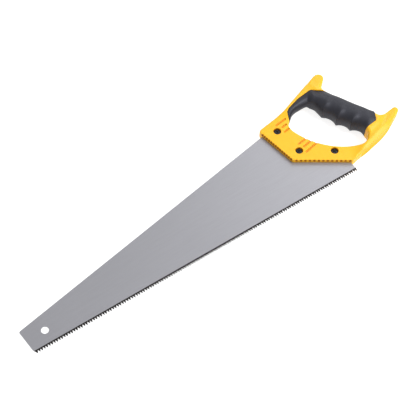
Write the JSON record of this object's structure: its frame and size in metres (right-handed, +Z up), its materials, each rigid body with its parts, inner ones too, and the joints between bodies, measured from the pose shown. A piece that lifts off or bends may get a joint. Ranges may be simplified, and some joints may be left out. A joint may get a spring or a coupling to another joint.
{
  "type": "hand saw",
  "caption": "Hand saw with a tapered toothed steel blade, screwed into a closed two-colour moulded handle with a soft finger-shaped grip.",
  "frame": {"origin": "centre of the footprint of the saw lying flat, at the ground it rests on", "axes": "+X from the toe of the blade towards the handle, +Y from the teeth towards the back of the blade, +Z up; the saw rests on its grip and on the toe, so the blade is tilted 1.63 degrees about Y"},
  "size_m": [0.5579, 0.1463, 0.0292],
  "materials": {
    "blade_steel": "satin, with dark hardened tooth tips",
    "handle_plastic": "semi-gloss yellow",
    "grip_rubber": "matt charcoal",
    "screw_steel": "blackened"
  },
  "bodies": {
    "root": {"blade": "blade_steel", "handle_body": "handle_plastic", "grip_overmould": "grip_rubber", "handle_screw_upper": "screw_steel", "handle_screw_middle": "screw_steel", "handle_screw_lower": "screw_steel", "sleeve_nut_upper": "screw_steel", "sleeve_nut_middle": "screw_steel", "sleeve_nut_lower": "screw_steel"}
  },
  "joints": []
}
